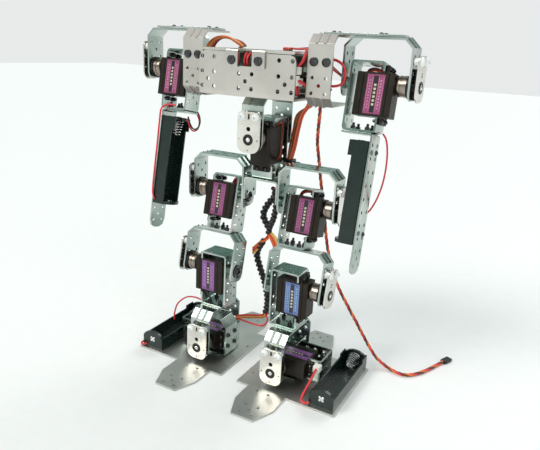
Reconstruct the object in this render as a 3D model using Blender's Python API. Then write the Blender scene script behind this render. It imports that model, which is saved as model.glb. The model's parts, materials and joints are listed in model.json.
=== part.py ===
"""Bench-built humanoid robot kit: nine servo joints in bent sheet brackets, with two feet and two arms.

Metres, +Z up. The robot faces -Y and its own left side is +X. The origin is on the floor under the
middle of the feet.
"""
import math

import bmesh
import bpy
from mathutils import Matrix, Vector

# --- driving dimensions -------------------------------------------------------------------------
SHEET = 0.002            # thickness of every bent aluminium piece
GAP = 0.0003             # clearance between pieces that touch
STRIP = 0.025            # width of every bracket strip
BEND = 0.003             # outside radius of a plain bend
CHAMFER = 0.0085         # leg of the ribbed, chamfered bends

YOKE_HALF = 0.0335       # outer face of a yoke arm, from the middle of the joint
YOKE_RISE = 0.043        # top of a yoke above the joint's axis
YOKE_DROP = 0.0125       # end of a yoke arm below the axis
ARM_END_RADIUS = 0.007

BASE_BACK = 0.0258       # outer face of a servo bracket's base, on the idler side
BRACKET_RISE = 0.020
BRACKET_DROP = 0.046
LUG_FACE = 0.008         # outer face of the lugs that the servo is screwed to
UPPER_LUG_END = 0.011
LOWER_LUG_END = 0.0312

SERVO_THICKNESS = 0.020
PIVOT_PIN = 0.0038
PIVOT_HOLE = 0.0042

SHOULDER_X, SHOULDER_Y, SHOULDER_Z = 0.1187, 0.0087, 0.330
WAIST_Y, WAIST_Z = 0.0097, 0.2677
HIP_X, HIP_Y, HIP_Z = 0.055, 0.0122, 0.1975
ANKLE_X, ANKLE_Z = 0.049, 0.021
ARM_TILT = 10.9          # degrees that an arm leans forward at rest
THIGH_TILT = 12.4
LINK = BRACKET_DROP + GAP + YOKE_RISE

HOLDER_LENGTH, HOLDER_WIDTH, HOLDER_HEIGHT, HOLDER_WALL = 0.100, 0.028, 0.022, 0.0016

KNEE_Y = HIP_Y - LINK * math.sin(math.radians(THIGH_TILT))
KNEE_Z = HIP_Z - LINK * math.cos(math.radians(THIGH_TILT))
ANKLE_Y = KNEE_Y

ALUMINIUM = ((0.78, 0.80, 0.80), 0.32, 1.0)
BLACK_PLASTIC = ((0.02, 0.02, 0.022), 0.45, 0.0)
BOARD_GREEN = ((0.03, 0.16, 0.09), 0.5, 0.0)
RED_WIRE = ((0.65, 0.05, 0.03), 0.45, 0.0)
ORANGE_WIRE = ((0.75, 0.22, 0.05), 0.45, 0.0)

# Outline planes: (u, v) of an outline and its depth go to these axes.
FLAT = Matrix.Identity(4)
FRONT = Matrix.Rotation(math.radians(90), 4, "X")
SIDE = Matrix(((0, 0, 1, 0), (1, 0, 0, 0), (0, 1, 0, 0), (0, 0, 0, 1)))


# --- outlines -----------------------------------------------------------------------------------
def fillet(corners, closed, steps=2):
    """Points of a path of (u, v, radius) corners, each corner with a radius turned into an arc."""
    points = []
    count = len(corners)
    for index, (u, v, radius) in enumerate(corners):
        corner = Vector((u, v))
        if radius == 0 or (not closed and index in (0, count - 1)):
            points.append(corner)
            continue
        back = (Vector(corners[index - 1][:2]) - corner).normalized()
        ahead = (Vector(corners[(index + 1) % count][:2]) - corner).normalized()
        half = math.acos(max(-1.0, min(1.0, back.dot(ahead)))) / 2
        centre = corner + (back + ahead).normalized() * radius / math.sin(half)
        first = corner + back * radius / math.tan(half) - centre
        last = corner + ahead * radius / math.tan(half) - centre
        turn = math.atan2(first.x * last.y - first.y * last.x, first.dot(last))
        for step in range(steps + 1):
            points.append(centre + Matrix.Rotation(turn * step / steps, 2) @ first)
    return points


def bent_sheet(corners, inward=1, steps=2):
    """Closed outline of a sheet bent along an open path; inward=1 thickens to the path's left."""
    outer = fillet(corners, False, steps)
    inner = []
    for index, point in enumerate(outer):
        normals = []
        for start in (index - 1, index):
            if 0 <= start < len(outer) - 1:
                along = (outer[start + 1] - outer[start]).normalized()
                normals.append(Vector((-along.y, along.x)) * inward)
        middle = sum(normals, Vector((0, 0))).normalized()
        inner.append(point + middle * SHEET / middle.dot(normals[0]))
    return outer + inner[::-1]


def polygon(u, v, radius, sides=8):
    """Outline of a round hole."""
    turns = [2 * math.pi * (step + 0.5) / sides for step in range(sides)]
    return [Vector((u + radius * math.cos(turn), v + radius * math.sin(turn))) for turn in turns]


# --- meshes -------------------------------------------------------------------------------------
def cleaned(mesh):
    """Weld a mesh, merge its coplanar faces and point its faces out."""
    shape = bmesh.new()
    shape.from_mesh(mesh)
    bmesh.ops.remove_doubles(shape, verts=shape.verts, dist=0.000002)
    bmesh.ops.recalc_face_normals(shape, faces=shape.faces)
    shape.to_mesh(mesh)
    shape.free()
    return mesh


def evaluated_mesh(obj):
    """Mesh of an object with its modifiers or curve settings applied; the object is removed."""
    bpy.context.view_layer.update()
    graph = bpy.context.evaluated_depsgraph_get()
    mesh = bpy.data.meshes.new_from_object(obj.evaluated_get(graph))
    bpy.data.objects.remove(obj, do_unlink=True)
    return cleaned(mesh)


def linked(name, data):
    obj = bpy.data.objects.new(name, data)
    bpy.context.scene.collection.objects.link(obj)
    return obj


def extruded(outlines, low, high, plane=FLAT):
    """Solid between two depths; the first outline is the edge and the others are its holes."""
    curve = bpy.data.curves.new("outline", "CURVE")
    curve.dimensions = "2D"
    curve.fill_mode = "BOTH"
    curve.extrude = (high - low) / 2
    for outline in outlines:
        spline = curve.splines.new("POLY")
        spline.points.add(len(outline) - 1)
        for point, place in zip(spline.points, outline):
            point.co = (place[0], place[1], 0, 1)
        spline.use_cyclic_u = True
    mesh = evaluated_mesh(linked("outline", curve))
    mesh.transform(plane @ Matrix.Translation((0, 0, (low + high) / 2)))
    return mesh


def block(low, high):
    """Box between two corners."""
    shape = bmesh.new()
    size = Vector(high) - Vector(low)
    bmesh.ops.create_cube(shape, size=1)
    shape.transform(Matrix.Translation((Vector(low) + Vector(high)) / 2) @ Matrix.Diagonal((*size, 1)))
    mesh = bpy.data.meshes.new("block")
    shape.to_mesh(mesh)
    shape.free()
    return mesh


def rod(radius, start, end, y=0.0, z=0.0, sides=12, end_radius=None):
    """Cylinder or cone along X from start to end."""
    shape = bmesh.new()
    tip = radius if end_radius is None else end_radius
    bmesh.ops.create_cone(shape, cap_ends=True, segments=sides, radius1=radius, radius2=tip, depth=end - start)
    shape.transform(Matrix.Translation(((start + end) / 2, y, z)) @ Matrix.Rotation(math.radians(90), 4, "Y"))
    mesh = bpy.data.meshes.new("rod")
    shape.to_mesh(mesh)
    shape.free()
    return mesh


def combined(mesh, others, operation):
    """Boolean of a mesh with others, one after another."""
    for other in others:
        target = linked("target", mesh)
        tool = linked("tool", other)
        modifier = target.modifiers.new("combine", "BOOLEAN")
        modifier.operation = operation
        modifier.solver = "EXACT"
        modifier.object = tool
        mesh = evaluated_mesh(target)
        bpy.data.objects.remove(tool, do_unlink=True)
    return mesh


def rounded_edges(mesh, chosen, radius, steps=2):
    """Round the edges whose two ends both pass a test."""
    shape = bmesh.new()
    shape.from_mesh(mesh)
    edges = [edge for edge in shape.edges if all(chosen(vert.co) for vert in edge.verts)]
    bmesh.ops.bevel(shape, geom=edges, offset=radius, segments=steps, profile=0.5, affect="EDGES")
    shape.to_mesh(mesh)
    shape.free()
    return cleaned(mesh)


def tube(points, radius, plane=FLAT):
    """Round wire through hand-placed points, read from a smooth curve every 2.5 diameters."""
    dense = smooth_path(points)
    spacing = radius * 5
    picked = [dense[0]]
    for point in dense[1:-1]:
        far_from_last = (point - picked[-1]).length >= spacing
        if far_from_last and (point - dense[-1]).length > spacing / 2:
            picked.append(point)
    picked.append(dense[-1])
    curve = bpy.data.curves.new("wire", "CURVE")
    curve.dimensions = "3D"
    curve.bevel_depth = radius
    curve.bevel_resolution = 2
    curve.use_fill_caps = True
    spline = curve.splines.new("POLY")
    spline.points.add(len(picked) - 1)
    for point, place in zip(spline.points, picked):
        point.co = (*place, 1)
    mesh = evaluated_mesh(linked("wire", curve))
    mesh.transform(plane)
    return mesh


def smooth_path(points, steps=16):
    """Catmull-Rom curve through the points."""
    places = [Vector(point) for point in points]
    places = [2 * places[0] - places[1]] + places + [2 * places[-1] - places[-2]]
    path = []
    for a, b, c, d in zip(places, places[1:], places[2:], places[3:]):
        for step in range(steps):
            t = step / steps
            path.append(0.5 * (2 * b + (c - a) * t + (2 * a - 5 * b + 4 * c - d) * t**2
                               + (3 * b - a - 3 * c + d) * t**3))
    path.append(places[-2])
    return path


# --- the joint module, in its own frame: axis along X, output at +X, servo hanging along -Z --------
def yoke_mesh():
    """U-shaped bracket with chamfered shoulders that carries the joint's outer plate."""
    half, top, low = YOKE_HALF, YOKE_RISE, -YOKE_DROP
    path = [(half, low, 0), (half, top - CHAMFER, 0), (half - CHAMFER, top, 0),
            (CHAMFER - half, top, 0), (-half, top - CHAMFER, 0), (-half, low, 0)]
    mesh = extruded([bent_sheet(path)], -STRIP / 2, STRIP / 2, FRONT)
    at_end = lambda co: abs(co.z - low) < 0.0001
    mesh = rounded_edges(mesh, lambda co: at_end(co) and abs(co.y - STRIP / 2) < 0.0001, ARM_END_RADIUS)
    mesh = rounded_edges(mesh, lambda co: at_end(co) and abs(co.y + STRIP / 2) < 0.0001, ARM_END_RADIUS)
    return combined(mesh, [rod(PIVOT_HOLE, -half - SHEET, half + SHEET)], "DIFFERENCE")


def outer_plate_mesh():
    """Pivot plate outside the yoke, with its two nylon posts, its axle and the horn hub on it."""
    inner, outer, half = 0.0383, 0.0400, 0.0132
    low, high, post_y, post_z = -0.0137, 0.0282, 0.008, 0.023
    edge = fillet([(-half, low, 0.009), (half, low, 0.009), (half, high, 0.005), (-half, high, 0.005)], True)
    plate = extruded([edge], inner, outer, SIDE)
    pieces = [rod(0.011, 0.0198, 0.0312), rod(PIVOT_PIN, 0.0305, inner + 0.0005)]
    for side in (-1, 1):
        pieces.append(rod(0.003, YOKE_HALF + GAP, inner + 0.0005, side * post_y, post_z, 8))
        pieces.append(rod(0.0042, outer - 0.0005, outer + 0.003, side * post_y, post_z, 8, 0.0024))
    hub = combined(pieces[0], pieces[1:2], "UNION")
    return combined(plate, [hub] + pieces[2:], "UNION")


def servo_bracket_mesh():
    """C-shaped bracket that the servo sits in, with the idler pin pressed into its base."""
    path = [(LUG_FACE, UPPER_LUG_END, 0), (LUG_FACE, BRACKET_RISE, BEND), (-BASE_BACK, BRACKET_RISE, BEND),
            (-BASE_BACK, -BRACKET_DROP, BEND), (LUG_FACE, -BRACKET_DROP, BEND), (LUG_FACE, -LOWER_LUG_END, 0)]
    mesh = extruded([bent_sheet(path)], -STRIP / 2, STRIP / 2, FRONT)
    collar = rod(0.006, GAP + SHEET - YOKE_HALF, 0.0005 - BASE_BACK)
    pin = rod(PIVOT_PIN, GAP - YOKE_HALF, SHEET - YOKE_HALF + 0.001)
    return combined(mesh, [combined(collar, [pin], "UNION")], "UNION")


def servo_mesh():
    """Servo motor: case, mounting ears and the boss of its output shaft."""
    half = SERVO_THICKNESS / 2
    case = block((-0.0192, -half, -0.0305), (0.0178, half, 0.0102))
    ears = block((LUG_FACE + GAP, 0.0002 - half, -0.0374), (0.0108, half - 0.0002, 0.0171))
    boss = rod(0.0068, 0.0170, 0.0195)
    return combined(case, [ears, boss], "UNION")


# --- body pieces ----------------------------------------------------------------------------------
CHEST_HALF = 0.054
CHEST_FRONT, CHEST_BACK = -0.040, 0.038
CHEST_LOW, CHEST_TOP = 0.311, 0.3528
SIDE_IN, SIDE_OUT = 0.0596, 0.0846
HOLE = 0.0017


def hole_row(us, vs, radius=HOLE, sides=6):
    return [polygon(u, v, radius, sides) for u in us for v in vs]


def chest_plate_mesh():
    """Front plate of the chest with the floor flange bent back from its lower edge."""
    path = [(CHEST_FRONT, CHEST_TOP, 0), (CHEST_FRONT, CHEST_LOW, BEND / 2), (CHEST_BACK, CHEST_LOW, 0)]
    mesh = extruded([bent_sheet(path)], -CHEST_HALF, CHEST_HALF, SIDE)
    for side in (-1, 1):
        at_corner = lambda co: co.z > CHEST_TOP - 0.0001 and abs(co.x - side * CHEST_HALF) < 0.0001
        mesh = rounded_edges(mesh, at_corner, 0.006)
    columns = [middle + side * 0.00715 for middle in (-0.0435, 0, 0.0435) for side in (-1, 1)]
    holes = hole_row(columns, (0.319, 0.333)) + hole_row((-0.0435, 0, 0.0435), (0.326,))
    drills = extruded(holes, -CHEST_FRONT - 2 * SHEET, SHEET - CHEST_FRONT, FRONT)
    return combined(mesh, [drills], "DIFFERENCE")


def chest_beam_mesh():
    """Top cover of the chest: back wall, roof and two tabs folded over the front plate."""
    front = CHEST_FRONT - SHEET - GAP
    half, top, back = 0.052, 0.356, CHEST_BACK - 0.001
    path = [(front, CHEST_TOP - 0.0138, 0), (front, top, BEND), (back, top, BEND), (back, 0.3133, 0)]
    mesh = extruded([bent_sheet(path, -1)], -half, half, SIDE)
    cuts = [block((-0.008, front - 0.01, 0.33), (0.008, front + 0.014, 0.36))]
    for side in (-1, 1):
        ends = sorted((side * 0.022, side * (half + 0.01)))
        cuts.append(block((ends[0], front - 0.01, 0.33), (ends[1], CHEST_FRONT, 0.36)))
    return combined(mesh, cuts, "DIFFERENCE")


def cross_beam_mesh():
    """Flat bar that ties the two side brackets together behind the chest plate."""
    low, high, half = 0.338, 0.3537, SIDE_OUT - 0.0006
    edge = [(-half, low), (half, low), (half, high), (-half, high)]
    return extruded([edge], 0.0227, 0.0247, FRONT)


def side_bracket_mesh(side):
    """Long ribbed U that carries a shoulder: its base faces forward and its arms run back."""
    front, back, low, high = -0.027, 0.023, 0.307, 0.373
    path = [(back, high, 0), (front + CHAMFER, high, 0), (front, high - CHAMFER, 0),
            (front, low + CHAMFER, 0), (front + CHAMFER, low, 0), (back, low, 0)]
    ends = sorted((side * SIDE_IN, side * SIDE_OUT))
    return extruded([bent_sheet(path)], *ends, SIDE)


def shoulder_strap_mesh(side):
    """Flat strap that joins the side bracket to the shoulder yoke."""
    low, high = SHOULDER_Z + YOKE_RISE + GAP, SHOULDER_Z + YOKE_RISE + GAP + SHEET
    ends = sorted((side * 0.062, side * 0.140))
    corner = 0.004
    edges = (SHOULDER_Y - STRIP / 2, SHOULDER_Y + STRIP / 2)
    edge = fillet([(ends[0], edges[0], corner), (ends[1], edges[0], corner),
                   (ends[1], edges[1], corner), (ends[0], edges[1], corner)], True)
    holes = hole_row([side * x for x in (0.066, 0.078, 0.111, 0.126)], (0.002, 0.016))
    return extruded([edge] + holes, low, high)


def controller_board_mesh():
    """Servo controller on its four standoffs, with header blocks along its two long edges."""
    low, high = 0.3212, 0.3228
    mesh = block((-0.046, -0.017, low), (0.046, 0.031, high))
    pieces = [block((side * 0.042 - 0.002, y - 0.002, CHEST_LOW + SHEET + GAP), (side * 0.042 + 0.002, y + 0.002, low + 0.0005))
              for side in (-1, 1) for y in (-0.013, 0.027)]
    pieces.append(block((-0.036, -0.016, high - 0.0005), (0.030, -0.008, 0.3310)))
    pieces.append(block((-0.036, 0.020, high - 0.0005), (0.030, 0.028, 0.3310)))
    pieces.append(block((-0.012, -0.003, high - 0.0005), (0.012, 0.015, 0.3265)))
    pieces.append(block((0.0365, 0.008, high - 0.0005), (0.0456, 0.016, 0.3300)))
    return combined(mesh, pieces, "UNION")


def pelvis_bracket_mesh():
    """Inverted U that hangs from the waist bracket between the two hip yokes."""
    half = HIP_X - YOKE_HALF - GAP
    high, low = WAIST_Z - BRACKET_DROP - GAP, 0.196
    path = [(half, low, 0), (half, high, BEND), (-half, high, BEND), (-half, low, 0)]
    return extruded([bent_sheet(path)], -HIP_Y - STRIP / 2, STRIP / 2 - HIP_Y, FRONT)


ARM_STRIP_FACE, ARM_STRIP_END = 0.0063, -0.184


def arm_strip_mesh():
    """L-shaped forearm strip hung under the shoulder's servo bracket."""
    high = -BRACKET_DROP - GAP
    path = [(-0.0255, high, 0), (ARM_STRIP_FACE, high, BEND), (ARM_STRIP_FACE, ARM_STRIP_END, 0)]
    mesh = extruded([bent_sheet(path, -1)], -STRIP / 2, STRIP / 2, FRONT)
    for side in (-1, 1):
        at_corner = lambda co: co.z < ARM_STRIP_END + 0.0001 and abs(co.y - side * STRIP / 2) < 0.0001
        mesh = rounded_edges(mesh, at_corner, 0.009)
    return mesh


def battery_holder_mesh():
    """Open tray for one cell: floor at z = 0, length along Y, with lowered side walls."""
    half_w, half_l, wall = HOLDER_WIDTH / 2, HOLDER_LENGTH / 2, HOLDER_WALL
    mesh = block((-half_w, -half_l, 0), (half_w, half_l, HOLDER_HEIGHT))
    bay = block((wall - half_w, wall - half_l, wall), (half_w - wall, half_l - wall, HOLDER_HEIGHT + 0.01))
    notch = block((-half_w - 0.01, 0.016 - half_l, 0.017), (half_w + 0.01, half_l - 0.016, HOLDER_HEIGHT + 0.01))
    return combined(mesh, [bay, notch], "DIFFERENCE")


FOOT_IN, FOOT_OUT, FOOT_BACK, TAB_STRAIGHT, TAB_TIP = 0.0105, 0.1285, 0.053, 0.080, 0.105
TAB_HALF, TIP_HALF = 0.023, 0.013


def foot_plate_mesh(side):
    """Flat sole with the same tapered tab at its toe and its heel."""
    tab = [(ANKLE_X + TAB_HALF, FOOT_BACK), (ANKLE_X + TAB_HALF, TAB_STRAIGHT),
           (ANKLE_X + TIP_HALF, TAB_TIP), (ANKLE_X - TIP_HALF, TAB_TIP),
           (ANKLE_X - TAB_HALF, TAB_STRAIGHT), (ANKLE_X - TAB_HALF, FOOT_BACK)]
    edge = [(FOOT_OUT, FOOT_BACK)] + tab + [(FOOT_IN, FOOT_BACK)]
    edge += [(x, -y) for x, y in edge[::-1]]
    holes = [(ANKLE_X, end * 0.091) for end in (-1, 1)]
    holes += [(ANKLE_X + dx * 0.0072, end * 0.091 + dy * 0.0072)
              for end in (-1, 1) for dx in (-1, 1) for dy in (-1, 1)]
    holes += [(0.054, -0.058), (0.040, -0.057), (0.018, -0.029), (0.018, 0.018)]
    outlines = [edge] + [polygon(x, y, HOLE, 6) for x, y in holes]
    return extruded([[(side * x, y) for x, y in outline] for outline in outlines], 0, SHEET)


def ankle_mount_mesh(side):
    """U lying on its side that holds the ankle's servo bracket on the sole."""
    wall, reach = 0.0264, 0.066
    low, high = SHEET + GAP, 0.049
    path = [(reach, high, 0), (wall + CHAMFER, high, 0), (wall, high - CHAMFER, 0),
            (wall, low, 0.004), (reach, low, 0)]
    outline = [(side * x, z) for x, z in bent_sheet(path)]
    return extruded([outline], -ANKLE_Y - STRIP / 2, STRIP / 2 - ANKLE_Y, FRONT)


# --- wiring ---------------------------------------------------------------------------------------
LEAD_RADIUS = 0.002
FREE_LEAD = [(0.0466, 0.012, 0.3268), (0.0520, 0.0122, 0.3268), (0.0567, 0.0135, 0.319),
             (0.0567, 0.017, 0.300), (0.0515, 0.028, 0.282), (0.0465, 0.040, 0.262), (0.0465, 0.050, 0.236),
             (0.0495, 0.055, 0.207), (0.0550, 0.056, 0.178), (0.0605, 0.056, 0.147), (0.0685, 0.056, 0.119),
             (0.0790, 0.057, 0.0945), (0.0930, 0.059, 0.0715), (0.1070, 0.061, 0.050),
             (0.1196, 0.063, 0.030), (0.1320, 0.066, 0.0125), (0.1470, 0.067, 0.0033),
             (0.1640, 0.0635, 0.0022), (0.1765, 0.070, 0.0022), (0.1870, 0.0865, 0.0022),
             (0.1945, 0.1045, 0.0022), (0.2005, 0.1190, 0.0022)]
HARNESS_RADIUS = 0.0032
LEG_HARNESS = [(0.0130, 0.0290, 0.214), (0.0060, 0.0300, 0.200), (-0.0050, 0.0290, 0.186),
               (-0.0095, 0.0275, 0.172), (-0.0020, 0.0265, 0.160), (-0.0010, 0.0265, 0.148),
               (-0.0100, 0.0265, 0.137), (-0.0150, 0.0265, 0.123), (-0.0100, 0.0265, 0.107),
               (-0.0030, 0.0275, 0.089), (0.0015, 0.0285, 0.067), (0.0000, 0.0280, 0.048)]
ARM_WIRE_RADIUS = 0.0009
ARM_WIRE = [(0.0092, 0.009, -0.0445), (0.0130, 0.011, -0.050), (0.0155, 0.013, -0.062),
            (0.0160, 0.0155, -0.078), (0.0145, 0.0175, -0.094), (0.0110, 0.0185, -0.109),
            (0.0060, 0.0180, -0.121), (0.0005, 0.0156, -0.128)]


def connector_mesh():
    """Three-pin plug lying on the floor at the end of the free lead."""
    end = Vector(FREE_LEAD[-1])
    along = (end - Vector(FREE_LEAD[-2])).normalized()
    turn = Matrix.Rotation(math.atan2(along.y, along.x), 4, "Z")
    mesh = block((GAP, -0.004, -end.z + 0.0002), (0.0142, 0.004, 0.0016))
    mesh.transform(Matrix.Translation(end) @ turn)
    return mesh


# --- assembly -------------------------------------------------------------------------------------
def material(name, look):
    colour, roughness, metallic = look
    result = bpy.data.materials.new(name)
    result.use_nodes = True
    shader = result.node_tree.nodes["Principled BSDF"]
    shader.inputs["Base Color"].default_value = (*colour, 1)
    shader.inputs["Roughness"].default_value = roughness
    shader.inputs["Metallic"].default_value = metallic
    return result


def body(name, axis_point, collection):
    """Empty on a joint's axis, the parent of everything that the joint moves."""
    empty = bpy.data.objects.new(name, None)
    empty.empty_display_size = 0.01
    empty.location = axis_point
    collection.objects.link(empty)
    return empty


def place(name, mesh, look, parent, matrix, collection):
    """Add one named node, parented to its body."""
    obj = bpy.data.objects.new(name, mesh)
    if not mesh.materials:
        mesh.name = name
        mesh.materials.append(material(name + "_finish", look))
    collection.objects.link(obj)
    obj.parent = parent
    obj.matrix_basis = Matrix.Translation(-parent.location) @ matrix
    return obj


def turned(axis, degrees):
    return Matrix.Rotation(math.radians(degrees), 4, axis)


def at(x, y, z):
    return Matrix.Translation((x, y, z))


def build():
    for obj in list(bpy.data.objects):
        bpy.data.objects.remove(obj, do_unlink=True)
    kit = bpy.data.collections.new("humanoid_robot_kit")
    bpy.context.scene.collection.children.link(kit)
    bodies = {"pelvis": body("pelvis", (0, 0, 0), kit), "torso": body("torso", (0, WAIST_Y, WAIST_Z), kit)}
    yoke, outer_plate = yoke_mesh(), outer_plate_mesh()
    bracket, servo, holder = servo_bracket_mesh(), servo_mesh(), battery_holder_mesh()
    arm_strip = arm_strip_mesh()
    arm_wire = tube(ARM_WIRE, ARM_WIRE_RADIUS)

    def add(name, mesh, look, body_name, matrix=FLAT):
        place(name, mesh, look, bodies[body_name], matrix, kit)

    def add_joint(name, yoke_body, yoke_matrix, servo_body, servo_matrix):
        add(name + "_yoke", yoke, ALUMINIUM, yoke_body, yoke_matrix)
        add(name + "_outer_plate", outer_plate, ALUMINIUM, yoke_body, yoke_matrix)
        add(name + "_servo_bracket", bracket, ALUMINIUM, servo_body, servo_matrix)
        add(name + "_servo", servo, BLACK_PLASTIC, servo_body, servo_matrix)

    forward = turned("Z", -90)
    waist = at(0, WAIST_Y, WAIST_Z) @ forward
    add_joint("waist", "torso", waist, "pelvis", waist)
    add("pelvis_bracket", pelvis_bracket_mesh(), ALUMINIUM, "pelvis")
    add("leg_harness", tube(LEG_HARNESS, HARNESS_RADIUS), BLACK_PLASTIC, "pelvis")
    add("chest_plate", chest_plate_mesh(), ALUMINIUM, "torso")
    add("chest_beam", chest_beam_mesh(), ALUMINIUM, "torso")
    add("cross_beam", cross_beam_mesh(), ALUMINIUM, "torso")
    add("controller_board", controller_board_mesh(), BOARD_GREEN, "torso")
    add("free_lead", tube(FREE_LEAD, LEAD_RADIUS), ORANGE_WIRE, "torso")
    add("lead_connector", connector_mesh(), BLACK_PLASTIC, "torso")

    for label, side in (("left", 1), ("right", -1)):
        arm, thigh, shin, foot = (f"{label}_{part}" for part in ("arm", "thigh", "shin", "foot"))
        bodies[arm] = body(arm, (side * SHOULDER_X, SHOULDER_Y, SHOULDER_Z), kit)
        bodies[thigh] = body(thigh, (side * HIP_X, HIP_Y, HIP_Z), kit)
        bodies[shin] = body(shin, (side * HIP_X, KNEE_Y, KNEE_Z), kit)
        bodies[foot] = body(foot, (side * ANKLE_X, ANKLE_Y, ANKLE_Z), kit)
        outward = turned("Z", 0 if side > 0 else 180)

        shoulder = at(side * SHOULDER_X, SHOULDER_Y, SHOULDER_Z)
        hanging = shoulder @ turned("X", -ARM_TILT) @ outward
        add_joint(f"{label}_shoulder", "torso", shoulder @ outward, arm, hanging)
        add(f"{label}_side_bracket", side_bracket_mesh(side), ALUMINIUM, "torso")
        add(f"{label}_shoulder_strap", shoulder_strap_mesh(side), ALUMINIUM, "torso")
        add(f"{label}_arm_strip", arm_strip, ALUMINIUM, arm, hanging)
        on_strip = at(ARM_STRIP_FACE - SHEET - GAP, 0, -0.104)
        facing_in = Matrix(((0, 0, -1, 0), (-1, 0, 0, 0), (0, 1, 0, 0), (0, 0, 0, 1)))
        add(f"{label}_arm_battery_holder", holder, BLACK_PLASTIC, arm, hanging @ on_strip @ facing_in)
        add(f"{label}_arm_lead", arm_wire, RED_WIRE, arm, hanging)

        hip = at(side * HIP_X, HIP_Y, HIP_Z)
        leaning = turned("X", -THIGH_TILT) @ outward
        knee = at(side * HIP_X, KNEE_Y, KNEE_Z)
        add_joint(f"{label}_hip", "pelvis", hip @ outward, thigh, hip @ leaning)
        add_joint(f"{label}_knee", thigh, knee @ leaning, shin, knee @ outward)

        ankle = at(side * ANKLE_X, ANKLE_Y, ANKLE_Z) @ forward
        add_joint(f"{label}_ankle", shin, ankle, foot, ankle @ turned("X", side * 90))
        add(f"{label}_ankle_mount", ankle_mount_mesh(side), ALUMINIUM, foot)
        add(f"{label}_foot_plate", foot_plate_mesh(side), ALUMINIUM, foot)
        sole = at(side * 0.11175, 0, SHEET + GAP)
        add(f"{label}_foot_battery_holder", holder, BLACK_PLASTIC, foot, sole)
    bpy.context.view_layer.update()


build()
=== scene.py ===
"""Looks of the humanoid robot kit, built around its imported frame. Metres, +Z up, the robot faces -Y."""
import json
import math

import bmesh
import bpy
from mathutils import Matrix, Vector

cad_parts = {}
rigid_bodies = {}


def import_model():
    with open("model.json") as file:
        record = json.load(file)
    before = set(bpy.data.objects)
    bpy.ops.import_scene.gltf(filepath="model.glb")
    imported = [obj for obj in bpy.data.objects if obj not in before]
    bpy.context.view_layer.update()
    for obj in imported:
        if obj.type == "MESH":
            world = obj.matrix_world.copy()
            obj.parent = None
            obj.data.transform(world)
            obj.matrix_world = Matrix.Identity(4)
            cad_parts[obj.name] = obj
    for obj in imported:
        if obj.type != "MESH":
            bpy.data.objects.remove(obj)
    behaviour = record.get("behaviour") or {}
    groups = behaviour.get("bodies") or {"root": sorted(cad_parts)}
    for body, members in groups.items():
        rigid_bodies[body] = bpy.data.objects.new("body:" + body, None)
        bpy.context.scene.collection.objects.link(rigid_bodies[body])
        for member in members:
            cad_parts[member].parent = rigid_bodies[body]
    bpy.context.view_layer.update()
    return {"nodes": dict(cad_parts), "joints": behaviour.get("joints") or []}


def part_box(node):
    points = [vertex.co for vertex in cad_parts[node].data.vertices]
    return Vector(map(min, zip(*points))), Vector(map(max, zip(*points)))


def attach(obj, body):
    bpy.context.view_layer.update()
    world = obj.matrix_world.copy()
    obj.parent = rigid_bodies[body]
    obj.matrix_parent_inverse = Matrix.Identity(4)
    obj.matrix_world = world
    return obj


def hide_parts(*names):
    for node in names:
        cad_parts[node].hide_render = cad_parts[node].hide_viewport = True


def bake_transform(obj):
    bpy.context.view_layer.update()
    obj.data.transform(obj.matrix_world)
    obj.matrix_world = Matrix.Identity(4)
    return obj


for leftover in list(bpy.data.objects):
    bpy.data.objects.remove(leftover, do_unlink=True)
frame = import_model()

# --- places read from the frame ---------------------------------------
JOINTS = {joint["name"]: joint for joint in frame["joints"]}


def joint_place(name):
    return Vector(JOINTS[name]["pos_m"])


def turned(axis, degrees):
    return Matrix.Rotation(math.radians(degrees), 4, axis)


ARM_TILT = 10.9
HIP_TO_KNEE = joint_place("left_hip_swing") - joint_place("left_knee_bend")
THIGH_TILT = math.degrees(math.atan2(HIP_TO_KNEE.y, HIP_TO_KNEE.z))
FORWARD = turned("Z", -90)
GAP = 0.0003
YOKE_HALF, YOKE_RISE, CHAMFER = 0.0335, 0.043, 0.0085
RIB_LENGTH = CHAMFER * 1.5
GRID = 0.00715           # half the spacing of the square hole patterns
HOLE = 0.0018
CHEST_HOLE = 0.0021


def joint_modules():
    """Each servo joint: its name, the bodies of its yoke and servo, and where each half stands."""
    waist = Matrix.Translation(joint_place("waist_roll")) @ FORWARD
    modules = [("waist", "torso", waist, "pelvis", waist)]
    for label, side in (("left", 1), ("right", -1)):
        outward = turned("Z", 0 if side > 0 else 180)
        leaning = turned("X", -THIGH_TILT) @ outward
        shoulder = Matrix.Translation(joint_place(label + "_shoulder_swing"))
        hip = Matrix.Translation(joint_place(label + "_hip_swing"))
        knee = Matrix.Translation(joint_place(label + "_knee_bend"))
        ankle = Matrix.Translation(joint_place(label + "_ankle_roll")) @ FORWARD
        modules += [
            (label + "_shoulder", "torso", shoulder @ outward, label + "_arm",
             shoulder @ turned("X", -ARM_TILT) @ outward),
            (label + "_hip", "pelvis", hip @ outward, label + "_thigh", hip @ leaning),
            (label + "_knee", label + "_thigh", knee @ leaning, label + "_shin", knee @ outward),
            (label + "_ankle", label + "_shin", ankle, label + "_foot", ankle @ turned("X", side * 90))]
    return modules


MODULES = joint_modules()


def added(name, data):
    """New object in the scene."""
    obj = bpy.data.objects.new(name, data)
    bpy.context.scene.collection.objects.link(obj)
    return obj


# --- camera, light and floor ------------------------------------------
def make_camera():
    data = bpy.data.cameras.new("view_camera")
    data.sensor_width = 36
    data.lens = 37.56
    data.clip_start = 0.01
    camera = added("view_camera", data)
    camera.location = (0.29275, -0.52290, 0.36021)
    camera.rotation_euler = [math.radians(angle) for angle in (72.3394, -2.8620, 28.9229)]
    bpy.context.scene.camera = camera


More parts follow.
